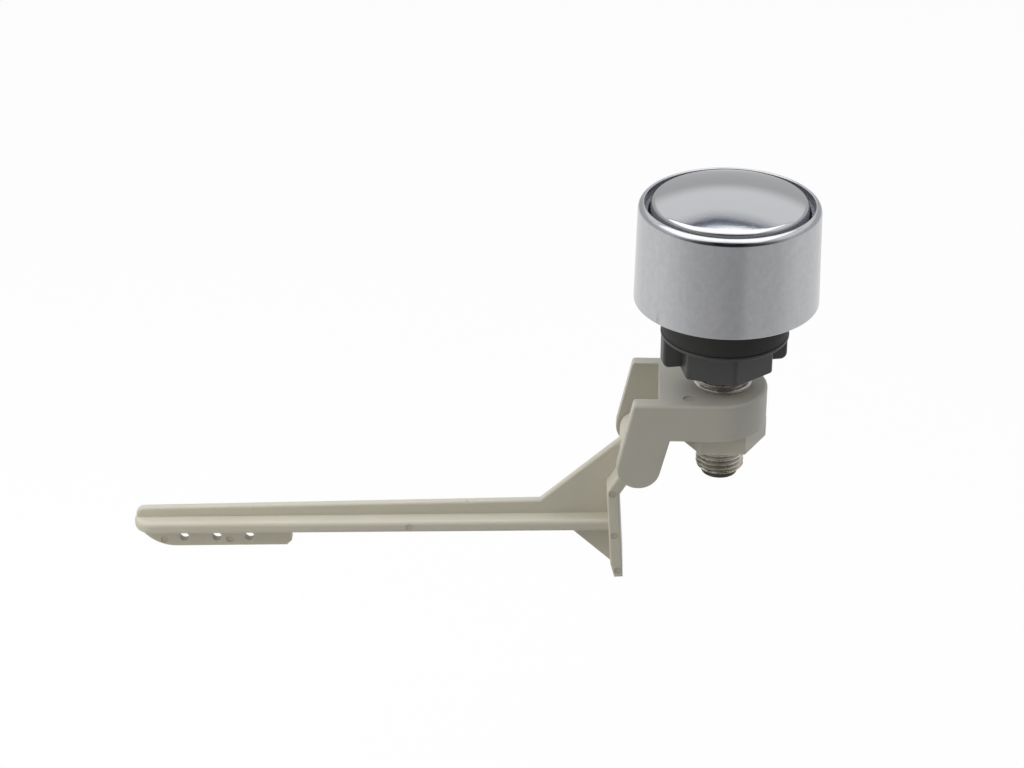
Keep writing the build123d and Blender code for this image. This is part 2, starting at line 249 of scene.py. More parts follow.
finish_recess(tree, shader, tint.outputs[2], satin.outputs["Result"])
store_share(bezel, "recess", lambda radius, height: (
    (radius < well_radius + wall_slack) * (dull_from - height) / dull_fade
))
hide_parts("bezel")
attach(bezel, "housing")


# Push button: the chromed dome that slides inside the bezel's lip.
# A moulded cap with a crowned top, a small round at its edge, a skirt below,
# and a boss that grips the end of the plunger.
button_radius, button_edge, button_crown, button_round = 18.9, 25.8, 3.4, 1.5
skirt_end, skirt_inside, cap_under = 16.8, 17.1, 24.0
boss_radius, boss_end, socket_radius, socket_end = 5.0, 18.0, 3.05, 25.0
dull_drop, dull_run = 0.2, 0.8
polish_tint, pit_tint = (0.605, 0.61, 0.621, 1.0), (0.34, 0.33, 0.32, 1.0)
crown_radius = (button_radius ** 2 + button_crown ** 2) / (2 * button_crown)
crown_centre = button_edge + button_crown - crown_radius
round_radius = button_radius - button_round
round_centre = crown_centre + np.sqrt((crown_radius - button_round) ** 2 - round_radius ** 2)
crown_end = np.arctan2(round_radius, round_centre - crown_centre)
crown_turn = np.linspace(0, crown_end, 40)
edge_turn = np.linspace(crown_end, np.pi / 2, 14)
edge_reach = round_radius + button_round * np.sin(edge_turn)
edge_height = round_centre + button_round * np.cos(edge_turn)
dome = np.concatenate([
    np.stack([crown_radius * np.sin(crown_turn), crown_centre + crown_radius * np.cos(crown_turn)], -1),
    np.stack([edge_reach, edge_height], -1),
    [(button_radius, skirt_end), (skirt_inside, skirt_end), (skirt_inside, cap_under)],
    [(boss_radius, cap_under), (boss_radius, boss_end), (socket_radius, boss_end)],
    [(socket_radius, socket_end), (0.0, socket_end)],
]) * mm
button = grid_piece("button_cap", turned_grid(dome), closed_rows=False)
tree, shader = new_surface(button, "button_chrome")
marks = add_node(tree, "ShaderNodeGroup", node_tree=plating)
marks.inputs["Pit spacing"].default_value = 260.0
marks.inputs["Pit size"].default_value = 0.05
marks.inputs["Streak"].default_value = 0.6
tint = add_node(tree, "ShaderNodeMix", {
    "Factor": marks.outputs["Pits"], 6: polish_tint, 7: pit_tint,
}, data_type="RGBA")
polish = add_node(tree, "ShaderNodeMapRange", {
    "Value": marks.outputs["Cloud"], "To Min": 0.05, "To Max": 0.1,
})
relief = add_node(tree, "ShaderNodeBump", {
    "Height": marks.outputs["Height"], "Strength": 0.22, "Distance": 0.1 * mm,
})
tree.links.new(relief.outputs["Normal"], shader.inputs["Normal"])
finish_recess(tree, shader, tint.outputs[2], polish.outputs["Result"])
store_share(button, "recess", lambda radius, height: (button_edge - dull_drop - height) / dull_run)
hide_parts("push_button")
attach(button, "button")


# Plunger: the steel rod pressed into the button's boss.
# It runs through the shank and is headed over at its foot,
# so the foot stops against the end of the shank.
metal_wear, wear_in, wear_out = new_group(
    "metal_wear",
    {"Grain": 700.0, "Stain": 0.5},
    ("Stain", "Grain"),
)
place = add_node(metal_wear, "ShaderNodeTexCoord").outputs["Object"]
grain = add_node(metal_wear, "ShaderNodeTexNoise", {
    "Vector": place, "Scale": wear_in["Grain"], "Detail": 5.0,
})
blot = add_node(metal_wear, "ShaderNodeTexNoise", {
    "Vector": place, "Scale": 240.0, "Detail": 6.0, "Roughness": 0.65,
})
stain = add_node(metal_wear, "ShaderNodeMapRange", {
    "Value": blot.outputs["Fac"], "From Min": wear_in["Stain"], "From Max": 0.75,
})
metal_wear.links.new(stain.outputs["Result"], wear_out.inputs["Stain"])
metal_wear.links.new(grain.outputs["Fac"], wear_out.inputs["Grain"])


def worn_metal(piece, slot, bright, dull, smooth, rough, **sockets):
    """A plain metal finish: stains shift its colour from bright to dull, and its grain sets how it shines."""
    tree, shader = new_surface(piece, slot, Metallic=1.0, **sockets)
    wear = add_node(tree, "ShaderNodeGroup", node_tree=metal_wear)
    tint = add_node(tree, "ShaderNodeMix", {
        "Factor": wear.outputs["Stain"], 6: (*bright, 1.0), 7: (*dull, 1.0),
    }, data_type="RGBA")
    shine = add_node(tree, "ShaderNodeMapRange", {
        "Value": wear.outputs["Grain"], "To Min": smooth, "To Max": rough,
    })
    relief = add_node(tree, "ShaderNodeBump", {
        "Height": wear.outputs["Grain"], "Strength": 0.15, "Distance": 0.1 * mm,
    })
    tree.links.new(tint.outputs[2], shader.inputs["Base Color"])
    tree.links.new(shine.outputs["Result"], shader.inputs["Roughness"])
    tree.links.new(relief.outputs["Normal"], shader.inputs["Normal"])
    return tree, shader, tint


rod_radius, rod_top, foot_radius, foot_top, foot_end, foot_round = 3.0, 25.0, 4.5, -46.5, -48.0, 0.4
foot_turn = np.linspace(0, np.pi / 2, 8)
foot_reach = foot_radius - foot_round + foot_round * np.cos(foot_turn)
foot_height = foot_end + foot_round - foot_round * np.sin(foot_turn)
rod = np.concatenate([
    [(0.0, rod_top), (rod_radius, rod_top), (rod_radius, foot_top), (foot_radius, foot_top)],
    np.stack([foot_reach, foot_height], -1),
    [(0.0, foot_end)],
]) * mm
plunger = grid_piece("plunger_rod", turned_grid(rod, 96), closed_rows=False)
worn_metal(
    plunger, "rod_steel", bright=(0.1, 0.093, 0.084), dull=(0.035, 0.031, 0.027), smooth=0.3, rough=0.5,
)
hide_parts("plunger")
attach(plunger, "button")


# Return spring: an open coil of drawn steel wire.
# It stands on the shank's head inside the bezel and lifts the button;
# the real coil closes up as the button goes in, but this one keeps its shape.
spring_low, spring_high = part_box("return_spring")
wire_radius, coil_radius, coil_turns, coil_steps, wire_steps = 0.55 * mm, 7.0 * mm, 5, 40, 14
spring_turn = np.linspace(0, 2 * np.pi * coil_turns, coil_steps * coil_turns + 1)[:, None]
wire_turn = np.linspace(0, 2 * np.pi, wire_steps, endpoint=False)[None]
coil_rise = np.linspace(spring_low.z + wire_radius, spring_high.z - wire_radius, len(spring_turn))[:, None]
coil_reach = coil_radius + wire_radius * np.cos(wire_turn)
coil = np.stack([
    coil_reach * np.cos(spring_turn),
    coil_reach * np.sin(spring_turn),
    coil_rise + wire_radius * np.sin(wire_turn),
], -1)
cut_ends = np.repeat(coil[[0, -1]].mean(1, keepdims=True), coil.shape[1], 1)
spring = grid_piece("spring_coil", np.concatenate([cut_ends[:1], coil, cut_ends[1:]]), closed_rows=False)
worn_metal(
    spring, "spring_steel", bright=(0.5, 0.5, 0.51), dull=(0.3, 0.28, 0.26), smooth=0.22, rough=0.4,
)
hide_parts("return_spring")
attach(spring, "housing")
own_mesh(spring)


# Shank: a brass tube, nickel plated, with a head inside the bezel.
# A coarse thread takes the locknut, a shoulder stops the bracket,
# and a thinner thread below takes the bracket's own nut.
def threaded_grid(outline, depth, pitch, columns=112):
    """A turned outline whose radius dips by its thread depth in a right-hand helix: at height h and
    angle a the dip follows a rounded wave of h / pitch - a / 2 pi, so it climbs one pitch a turn."""
    around = np.linspace(0, 2 * np.pi, columns, endpoint=False)
    phase = (outline[:, 1:] / pitch[:, None] - around / (2 * np.pi)) % 1
    steepness, crest_share = 1.3, 0.15
    wave = np.clip(steepness * np.abs(2 * phase - 1) - crest_share, 0, 1)
    radius = outline[:, :1] - depth[:, None] * wave
    return np.stack([radius * np.cos(around), radius * np.sin(around), outline[:, 1:] + 0 * around], -1)


def straight_run(start, end, rows):
    """Evenly spaced (radius, height) points from one end of a run to the other."""
    share = np.linspace(0, 1, rows)[:, None]
    return np.array(start) * (1 - share) + np.array(end) * share


upper_pitch, lower_pitch, upper_dip, lower_dip = 1.5, 1.25, 0.72, 0.7
shank_bore, head_radius, upper_radius, lower_radius = 3.05, 11.0, 7.2, 5.95
head_top, head_under, shoulder, shank_end, thread_rows = 8.0, 6.0, -22.35, -46.5, 300
dark_least, dark_from, dark_fade, dark_brown_tint = 0.3, -43.0, 4.0, (0.5, 0.46, 0.4, 1.0)
runs = [
    (straight_run((shank_bore, shank_end), (shank_bore, head_top), 4), 0.0, upper_pitch),
    (straight_run((10.6, head_top), (head_radius, 7.6), 2), 0.0, upper_pitch),
    (straight_run((head_radius, head_under), (upper_radius, head_under), 2), 0.0, upper_pitch),
    (straight_run((upper_radius, 5.9), (upper_radius, -22.3), thread_rows), upper_dip, upper_pitch),
    (straight_run((upper_radius, -22.4), (6.7, -23.1), 2), 0.0, upper_pitch),
    (straight_run((lower_radius, -23.15), (lower_radius, -45.6), thread_rows), lower_dip, lower_pitch),
    (straight_run((5.7, -45.9), (5.05, shank_end), 3), 0.0, lower_pitch),
]
outline = np.concatenate([run for run, _, _ in runs]) * mm
depth = np.concatenate([np.full(len(run), deep) for run, deep, _ in runs]) * mm
pitch = np.concatenate([np.full(len(run), step) for run, _, step in runs]) * mm
shank = grid_piece("shank_tube", threaded_grid(outline, depth, pitch), closed_rows=True, sharp=50)
tree, shader, tint = worn_metal(
    shank, "shank_nickel", bright=(0.92, 0.89, 0.84), dull=(0.6, 0.55, 0.49), smooth=0.2, rough=0.36,
)
# The thread roots and the lower thread are made darker and browner, the more so towards the lower end.
root_and_end_darkening = add_node(tree, "ShaderNodeMix", {
    "Factor": add_node(tree, "ShaderNodeAttribute", attribute_name="thread_root").outputs["Fac"],
    6: tint.outputs[2], 7: dark_brown_tint,
}, data_type="RGBA")
tree.links.new(root_and_end_darkening.outputs[2], shader.inputs["Base Color"])
store_share(shank, "thread_root", lambda radius, height: np.where(
    height > shoulder,
    (upper_radius - radius) / upper_dip,
    dark_least + (lower_radius - radius) / lower_dip + (dark_from - height) / dark_fade,
))
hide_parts("shank")
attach(shank, "housing")


# Wall washer: a thick ring of black rubber that narrows towards the nut.
# It is moulded smooth, slides on the shank,
# and is squeezed against the inside of the wall by the nut.
washer_hole, washer_front, washer_back, washer_wide, washer_narrow = 7.6, -0.3, -8.4, 15.85, 15.5
rubber_black, rubber_bloom = (0.022, 0.022, 0.022, 1.0), (0.047, 0.047, 0.047, 1.0)
washer = grid_piece("washer_ring", turned_grid(turned_outline([
    (washer_hole, washer_back, 0.3),
    (washer_hole, washer_front, 0.3),
    (washer_wide, washer_front, 0.5),
    (washer_narrow, washer_back, 0.35),
])), closed_rows=True)
tree, shader = new_surface(washer, "washer_rubber", Specular_IOR_Level=0.35)
place = add_node(tree, "ShaderNodeTexCoord").outputs["Object"]
bloom = add_node(tree, "ShaderNodeTexNoise", {"Vector": place, "Scale": 160.0, "Detail": 6.0})
pores = add_node(tree, "ShaderNodeTexNoise", {"Vector": place, "Scale": 3200.0, "Detail": 2.0})
tint = add_node(tree, "ShaderNodeMix", {
    "Factor": bloom.outputs["Fac"], 6: rubber_black, 7: rubber_bloom,
}, data_type="RGBA")
matt = add_node(tree, "ShaderNodeMapRange", {"Value": bloom.outputs["Fac"], "To Min": 0.5, "To Max": 0.72})
relief = add_node(tree, "ShaderNodeBump", {
    "Height": pores.outputs["Fac"], "Strength": 0.2, "Distance": 0.05 * mm,
})
tree.links.new(tint.outputs[2], shader.inputs["Base Color"])
tree.links.new(matt.outputs["Result"], shader.inputs["Roughness"])
tree.links.new(relief.outputs["Normal"], shader.inputs["Normal"])
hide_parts("wall_washer")
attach(washer, "washer")


# Locknut: a black nylon nut with a thin round flange, a hexagon and two wings for the fingers.
# It is moulded in one piece, with a fine matt skin from the mould,
# and runs on the shank's thick thread.
mould_skin, skin_in, skin_out = new_group(
    "mould_skin",
    {"Grain": 2600.0, "Mottle": 70.0},
    ("Mottle", "Specks", "Height"),
)
place = add_node(mould_skin, "ShaderNodeTexCoord").outputs["Object"]
mottle = add_node(mould_skin, "ShaderNodeTexNoise", {
    "Vector": place, "Scale": skin_in["Mottle"], "Detail": 5.0,
})
grain = add_node(mould_skin, "ShaderNodeTexNoise", {
    "Vector": place, "Scale": skin_in["Grain"], "Detail": 2.0,
})
dust = add_node(mould_skin, "ShaderNodeTexNoise", {"Vector": place, "Scale": 1300.0, "Detail": 1.0})
specks = add_node(mould_skin, "ShaderNodeMapRange", {
    "Value": dust.outputs["Fac"], "From Min": 0.73, "From Max": 0.82,
})
mould_skin.links.new(mottle.outputs["Fac"], skin_out.inputs["Mottle"])
mould_skin.links.new(specks.outputs["Result"], skin_out.inputs["Specks"])
mould_skin.links.new(grain.outputs["Fac"], skin_out.inputs["Height"])


def moulded_plastic(piece, slot, deep, pale, speck, smooth, rough, relief_strength, **sockets):
    """A moulded plastic finish: its colour drifts from deep to pale, with fine specks and a mould's grain.
    It gives back the tree, the shader and the colour, so that a piece can add its own marks."""
    tree, shader = new_surface(piece, slot, **sockets)
    skin = add_node(tree, "ShaderNodeGroup", node_tree=mould_skin)
    drift = add_node(tree, "ShaderNodeMix", {
        "Factor": skin.outputs["Mottle"], 6: (*deep, 1.0), 7: (*pale, 1.0),
    }, data_type="RGBA")
    tint = add_node(tree, "ShaderNodeMix", {
        "Factor": skin.outputs["Specks"], 6: drift.outputs[2], 7: (*speck, 1.0),
    }, data_type="RGBA")
    shine = add_node(tree, "ShaderNodeMapRange", {
        "Value": skin.outputs["Mottle"], "To Min": smooth, "To Max": rough,
    })
    relief = add_node(tree, "ShaderNodeBump", {
        "Height": skin.outputs["Height"], "Strength": relief_strength, "Distance": 0.05 * mm,
    })
    tree.links.new(tint.outputs[2], shader.inputs["Base Color"])
    tree.links.new(shine.outputs["Result"], shader.inputs["Roughness"])
    tree.links.new(relief.outputs["Normal"], shader.inputs["Normal"])
    return tree, shader, tint.outputs[2]


def hexagon_radius(around, apothem, rounding):
    """The distance from the axis to a hexagon with rounded corners, at each angle from the middle of a
    flat: the apothem over the angle's cosine, and near a corner the far crossing with the corner's circle."""
    off_flat = np.abs((around + np.pi / 6) % (np.pi / 3) - np.pi / 6)
    off_corner = np.pi / 6 - off_flat
    corner = (apothem - rounding) / np.cos(np.pi / 6)
    flat_end = np.arctan((apothem - rounding) * np.tan(np.pi / 6) / apothem)
    across = np.sqrt(np.maximum(rounding ** 2 - (corner * np.sin(off_corner)) ** 2, 0))
    return np.where(off_flat < flat_end, apothem / np.cos(off_flat), corner * np.cos(off_corner) + across)


nut_turn, nut_bore, nut_top, nut_end = radians(11.0), 7.28, -8.4, -18.2
nut_flange, nut_flange_round, nut_flange_back = 15.7, 0.3, -9.3
nut_apothem, nut_corner, nut_edge, nut_columns = 10.85, 1.3, 0.5, 480
around = np.linspace(0, 2 * np.pi, nut_columns, endpoint=False)
rim_turn = np.linspace(0, np.pi / 2, 6)[:, None]
edge_turn = np.linspace(0, np.pi / 2, 7)[:, None]
rim_inside = nut_flange - nut_flange_round
inset = nut_edge * (1 - np.cos(edge_turn))
reach = np.concatenate([
    np.full((2, 1), nut_bore) + 0 * around,
    rim_inside + nut_flange_round * np.sin(rim_turn) + 0 * around,
    rim_inside + nut_flange_round * np.cos(rim_turn) + 0 * around,
    hexagon_radius(around, nut_apothem, nut_corner)[None],
    hexagon_radius(around, nut_apothem - inset, nut_corner - inset),
])
level = np.concatenate([
    [[nut_end], [nut_top]],
    nut_top - nut_flange_round * (1 - np.cos(rim_turn)),
    nut_flange_back + nut_flange_round * (1 - np.sin(rim_turn)),
    [[nut_flange_back]],
    nut_end + nut_edge * (1 - np.sin(edge_turn)),
])
locknut = grid_piece("locknut_body", np.stack([
    reach * np.cos(around + nut_turn), reach * np.sin(around + nut_turn), level + 0 * around,
], -1) * mm, closed_rows=True)


def wing_grid(inner, outer, low, high, half_width, corner, edge):
    """A flat wing with rounded edges: an upright outline with one round corner, carried across the
    wing's width, that draws in along a quarter circle towards each side and closes on its middle."""
    turn = np.linspace(0, np.pi / 2, 7)
    draw_in = edge * (1 - np.cos(turn))
    side = half_width - edge * (1 - np.sin(turn))
    outlines = np.stack([turned_outline([
        (inner, low + d, 0.0), (outer - d, low + d, corner - d), (outer - d, high, 0.0), (inner, high, 0.0),
    ], steps=9) for d in draw_in])
    middle = np.broadcast_to(outlines[-1:].mean(1, keepdims=True), outlines[-1:].shape)
    outlines = np.concatenate([outlines, middle])
    side = np.append(side, half_width) * mm
    across = np.concatenate([-side[::-1], side])[:, None]
    outlines = np.concatenate([outlines[::-1], outlines])
    return np.stack([outlines[..., 0], across + 0 * outlines[..., 0], outlines[..., 1]], -1)


def unite(piece, other):
    """One closed mesh from two pieces that meet: what lies inside either is kept, and the second goes."""
    meeting = piece.modifiers.new("meeting", "BOOLEAN")
    meeting.operation, meeting.solver, meeting.object = "UNION", "EXACT", other
    united = bpy.data.meshes.new_from_object(piece.evaluated_get(bpy.context.evaluated_depsgraph_get()))
    piece.modifiers.remove(meeting)
    piece.data = united
    bpy.data.objects.remove(other)


def shade_faces(piece):
    """Smooth shading that stays flat on large faces and breaks where faces meet at a marked angle."""
    sharp = 30
    piece.data.polygons.foreach_set("use_smooth", np.ones(len(piece.data.polygons), bool))
    piece.data.set_sharp_from_angle(angle=radians(sharp))
    piece.modifiers.new("flat_faces_stay_flat", "WEIGHTED_NORMAL").keep_sharp = True


wing = wing_grid(inner=9.5, outer=15.6, low=-17.0, high=-8.85, half_width=2.1, corner=1.7, edge=0.8)
for heading in (nut_turn, nut_turn + np.pi):
    turned = np.stack([
        wing[..., 0] * np.cos(heading) - wing[..., 1] * np.sin(heading),
        wing[..., 0] * np.sin(heading) + wing[..., 1] * np.cos(heading),
        wing[..., 2],
    ], -1)
    unite(locknut, grid_piece("locknut_wing", turned, closed_rows=False))
shade_faces(locknut)
moulded_plastic(
    locknut, "nut_black", deep=(0.053, 0.053, 0.056), pale=(0.086, 0.086, 0.09), speck=(0.12, 0.12, 0.12),
    smooth=0.34, rough=0.48, relief_strength=0.35,
)
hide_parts("locknut")
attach(locknut, "locknut")


# Bracket: the ivory block that the shank passes through, forked into two ears.
# It is moulded in the same plastic as the lever,
# and clamped between the shank's shoulder and its nut.
def joined_copy(name, node):
    """The triangles of a CAD node with their loose corners joined, so that curved faces shade as one.
    Corners at the same place become one point, and a triangle that shrinks to a line is left out."""
    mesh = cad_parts[node].data
    place = np.empty(len(mesh.vertices) * 3)
    mesh.vertices.foreach_get("co", place)
    corner = np.empty(len(mesh.loops), int)
    mesh.loops.foreach_get("vertex_index", corner)
    places, index = np.unique(np.round(place.reshape(-1, 3), 7), axis=0, return_inverse=True)
    faces = index.reshape(-1)[corner].reshape(-1, 3)
    whole = (faces != np.roll(faces, 1, 1)).all(1)
    copy = bpy.data.meshes.new(name)
    copy.from_pydata(places.tolist(), [], faces[whole].tolist())
    piece = bpy.data.objects.new(name, copy)
    bpy.context.scene.collection.objects.link(piece)
    return piece


# The bracket's ivory is the same plastic as the lever's, tinted darker as painted shade from the bezel above
# it.
shaded_ivory_deep, shaded_ivory_pale, shaded_ivory_speck = (0.49, 0.48, 0.42), (0.545, 0.535, 0.468), (0.43, 0.41, 0.35)
ivory_skin = {
    "smooth": 0.34, "rough": 0.48, "relief_strength": 0.2,
    "Subsurface_Weight": 0.25, "Subsurface_Radius": (1.0, 0.85, 0.6), "Subsurface_Scale": 1.5 * mm,
}
pin_print, print_in, print_out = new_group(
    "pin_print", {"Centre": (0.0, 0.0, 0.0), "Radius": 1.0 * mm}, ("Print",),
)
place = add_node(pin_print, "ShaderNodeTexCoord").outputs["Object"]
apart = add_node(pin_print, "ShaderNodeVectorMath", {0: place, 1: print_in["Centre"]}, operation="DISTANCE")
reach = add_node(pin_print, "ShaderNodeMath", {
    0: apart.outputs["Value"], 1: print_in["Radius"],
}, operation="DIVIDE")
inside = add_node(pin_print, "ShaderNodeMapRange", {
    "Value": reach.outputs[0], "From Min": 0.94, "From Max": 1.08, "To Min": 0.3, "To Max": 0.0,
})
rim_width, rim_share = 0.09, 0.22
on_rim = add_node(pin_print, "ShaderNodeMath", {
    0: reach.outputs[0], 1: 1.0, 2: rim_width,
}, operation="COMPARE")
rim = add_node(pin_print, "ShaderNodeMath", {
    0: on_rim.outputs[0], 1: rim_share, 2: inside.outputs["Result"],
}, operation="MULTIPLY_ADD")
pin_print.links.new(rim.outputs[0], print_out.inputs["Print"])


def add_prints(tree, shader, colour, places, radius, tone):
    """Round marks over a colour, such as prints of the mould's pins, one at each place."""
    for place in places:
        mark = add_node(tree, "ShaderNodeGroup", node_tree=pin_print)
        mark.inputs["Centre"].default_value = np.array(place) * mm
        mark.inputs["Radius"].default_value = radius * mm
        colour = add_node(tree, "ShaderNodeMix", {
            "Factor": mark.outputs["Print"], 6: colour, 7: (*tone, 1.0),
        }, data_type="RGBA").outputs[2]
    tree.links.new(colour, shader.inputs["Base Color"])
    return colour


bracket = joined_copy("bracket_block", "bracket")
shade_faces(bracket)
tree, shader, colour = moulded_plastic(
    bracket, "ivory_plastic", shaded_ivory_deep, shaded_ivory_pale, shaded_ivory_speck, **ivory_skin,
)
add_prints(tree, shader, colour, [(-8.5, -9.0, -23.2)], radius=1.5, tone=(0.34, 0.325, 0.27))
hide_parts("bracket")
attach(bracket, "housing")


# Bracket nut: the ivory hexagon under the bracket.
# It is moulded in the same plastic, with its lower edges broken,
# and runs on the shank's thin thread.
bracket_nut = joined_copy("bracket_nut_hexagon", "bracket_nut")
shade_faces(bracket_nut)
# Its ivory is tinted between the bracket's and the lever's: painted light and shade on one plastic.
moulded_plastic(
    bracket_nut, "ivory_plastic", deep=(0.55, 0.535, 0.46), pale=(0.61, 0.595, 0.515), speck=shaded_ivory_speck,
    **ivory_skin,
)
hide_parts("bracket_nut")
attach(bracket_nut, "housing")


# Lever: hub, paddle, arm and drilled chain rib, all one ivory moulding.
# Its trunnions snap into the bracket's ears, the plunger pushes its paddle,
# and the flush chain hooks into one of the holes at the arm's end.
lever = joined_copy("lever_moulding", "lever")
rib = joined_copy("lever_rib", "chain_rib")
arm_tilt, rib_overlap, top_slack = radians(1.75), 0.1 * mm, 0.001 * mm
arm_up = np.array((-np.sin(arm_tilt), 0.0, np.cos(arm_tilt)))
rib_points = np.empty(len(rib.data.vertices) * 3)
rib.data.vertices.foreach_get("co", rib_points)
rib_points = rib_points.reshape(-1, 3)
rib_height = rib_points @ arm_up
rib_points[rib_height > rib_height.max() - top_slack] += rib_overlap * arm_up
rib.data.vertices.foreach_set("co", rib_points.ravel())
unite(lever, rib)
shade_faces(lever)
# The lever's ivory is tinted lighter than the bracket's as painted light on the arm, away from the bezel's
# shade.
tree, shader, colour = moulded_plastic(
    lever, "ivory_plastic", deep=(0.565, 0.548, 0.468), pale=(0.625, 0.608, 0.522),
    speck=(0.48, 0.455, 0.385), **ivory_skin,
)
paddle_prints = [(-26.595, -7.9, -51.191), (-25.871, -7.9, -63.369), (-24.861, -7.9, -73.628)]
arm_prints = [(-77.842, -5.147, -63.512), (-141.052, -1.1, -70.695), (-124.26, -1.1, -70.182)]
colour = add_prints(tree, shader, colour, paddle_prints + arm_prints, radius=0.95, tone=(0.4, 0.37, 0.3))
crest_rub = [(-63.5, -0.7, -57.5)]
add_prints(tree, shader, colour, crest_rub, radius=0.6, tone=(0.34, 0.27, 0.12))
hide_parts("lever", "chain_rib")
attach(lever, "lever")


# Floor: a plain sheet of pale paper, just below the lowest point that the swinging arm reaches.
# The camera sees it white with the object's shadow. For the chrome it glows with a painted reflection:
# paler at the sides, a painted shadow where the photographer stands, and greyer far behind and far in front.
def add_ramp(tree, value, stops):
    """A colour ramp over a value, with a grey level or a colour at each stop's position."""
    node = add_node(tree, "ShaderNodeValToRGB", {"Fac": value})
    ramp = node.color_ramp.elements
    for position, _ in stops[2:]:
        ramp.new(position)
    for element, (position, tone) in zip(ramp, stops):
        element.position = position
        element.color = (*np.broadcast_to(tone, 3), 1.0)
    return node


pivot_reach, pivot_depth, floor_gap, floor_reach = -20.5 * mm, -41.1 * mm, 2.0 * mm, 4.0
lever_points = np.empty(len(lever.data.vertices) * 3)
lever.data.vertices.foreach_get("co", lever_points)
lever_points = lever_points.reshape(-1, 3)
arm_swing = np.hypot(lever_points[:, 0] - pivot_reach, lever_points[:, 2] - pivot_depth).max()
floor_level = pivot_depth - arm_swing - floor_gap
floor_mesh = bpy.data.meshes.new("floor")
corner_signs = np.array([(-1, -1), (1, -1), (1, 1), (-1, 1)], float)
floor_corners = np.column_stack([corner_signs * floor_reach, np.full(4, floor_level)])
floor_mesh.from_pydata(floor_corners.tolist(), [], [(0, 1, 2, 3)])
floor = bpy.data.objects.new("floor", floor_mesh)
bpy.context.scene.collection.objects.link(floor)
floor_finish = bpy.data.materials.new("floor_finish")
floor_finish.use_nodes = True
tree = floor_finish.node_tree
tree.nodes.clear()
place = add_node(tree, "ShaderNodeTexCoord").outputs["Object"]
turned_front = add_node(tree, "ShaderNodeMapping", {"Vector": place, "Rotation": (0.0, 0.0, radians(90))})
bearing = add_node(tree, "ShaderNodeTexGradient", {
    "Vector": turned_front.outputs["Vector"],
}, gradient_type="RADIAL")
# Painted reflection round the object: pale to the sides, and a painted shadow, darkest straight in front,
# where the photographer stands.
round_about = add_ramp(tree, bearing.outputs["Fac"], [
    (0.0, 0.93), (0.25, 0.86), (0.333, 0.66), (0.383, 0.53), (0.444, 0.45), (0.5, 0.38),
    (0.54, 0.38), (0.565, 0.5), (0.66, 0.56), (0.75, 0.77), (0.86, 0.84), (1.0, 0.93),
])
depth_along = add_node(tree, "ShaderNodeSeparateXYZ", {"Vector": place}).outputs["Y"]
far_behind = add_node(tree, "ShaderNodeMapRange", {
    "Value": depth_along, "From Min": 0.65, "From Max": 1.3, "To Min": 1.0, "To Max": 0.62,
})
far_before = add_node(tree, "ShaderNodeMapRange", {
    "Value": depth_along, "From Min": -1.9, "From Max": -0.75, "To Min": 0.5, "To Max": 1.0,
})
far_off = add_node(tree, "ShaderNodeMath", {
    0: far_behind.outputs["Result"], 1: far_before.outputs["Result"],
}, operation="MULTIPLY")
white_share, chrome_share = 0.88, 0.85
paper = add_node(tree, "ShaderNodeBsdfDiffuse", {"Color": (0.45, 0.45, 0.45, 1.0)})
white_paper = add_node(tree, "ShaderNodeBsdfDiffuse", {"Color": (0.95, 0.95, 0.95, 1.0)})
white = add_node(tree, "ShaderNodeEmission", {"Color": (1.0, 1.0, 1.0, 1.0), "Strength": 1.0})
# The floor's painted reflection: a glow that only glossy rays see.
floor_painted_reflection = add_node(tree, "ShaderNodeEmission", {
    "Color": round_about.outputs["Color"], "Strength": far_off.outputs[0],
})
rays = add_node(tree, "ShaderNodeLightPath").outputs
seen = add_node(tree, "ShaderNodeMixShader", {0: white_share, 1: white_paper.outputs[0], 2: white.outputs[0]})
to_camera = add_node(tree, "ShaderNodeMixShader", {
    0: rays["Is Camera Ray"], 1: paper.outputs[0], 2: seen.outputs[0],
})
metal_share = add_node(tree, "ShaderNodeMath", {
    0: rays["Is Glossy Ray"], 1: chrome_share,
}, operation="MULTIPLY")
to_metal = add_node(tree, "ShaderNodeMixShader", {
    0: metal_share.outputs[0], 1: to_camera.outputs[0], 2: floor_painted_reflection.outputs[0],
})
add_node(tree, "ShaderNodeOutputMaterial", {"Surface": to_metal.outputs[0]})
floor_mesh.materials.append(floor_finish)


# Studio: one wide soft lamp overhead that reaches towards the camera, a weak warm fill at the left,
# pale walls at the back and sides, a dark room behind the camera, and a dark card above the back wall
# that shows as the peaked arc across the front of the dome.
world = bpy.data.worlds.new("studio")
bpy.context.scene.world = world
world.use_nodes = True
tree = world.node_tree
tree.nodes.clear()
facing = add_node(tree, "ShaderNodeTexCoord").outputs["Generated"]
part_of = add_node(tree, "ShaderNodeSeparateXYZ", {"Vector": facing}).outputs
walls = add_node(tree, "ShaderNodeMapRange", {
    "Value": part_of["Y"], "From Min": -0.85, "From Max": -0.15, "To Min": 0.08, "To Max": 0.88,
}, interpolation_type="SMOOTHSTEP")
skirting = add_node(tree, "ShaderNodeMapRange", {
    "Value": part_of["Z"], "From Min": 0.27, "From Max": 0.5, "To Min": 0.6, "To Max": 1.0,
}, interpolation_type="SMOOTHSTEP")
wall_level = add_node(tree, "ShaderNodeMath", {
    0: walls.outputs["Result"], 1: skirting.outputs["Result"],
}, operation="MULTIPLY")
lamp_back_edge, lamp_slack = radians(119.5), -0.01
past_lamp = add_node(tree, "ShaderNodeVectorMath", {
    0: facing, 1: (0.0, np.sin(lamp_back_edge), np.cos(lamp_back_edge)),
}, operation="DOT_PRODUCT")
card_centre, card_slope = -0.05, 0.24
aside = add_node(tree, "ShaderNodeMath", {0: part_of["X"], 1: card_centre}, operation="SUBTRACT")
aside = add_node(tree, "ShaderNodeMath", {0: aside.outputs[0]}, operation="ABSOLUTE")
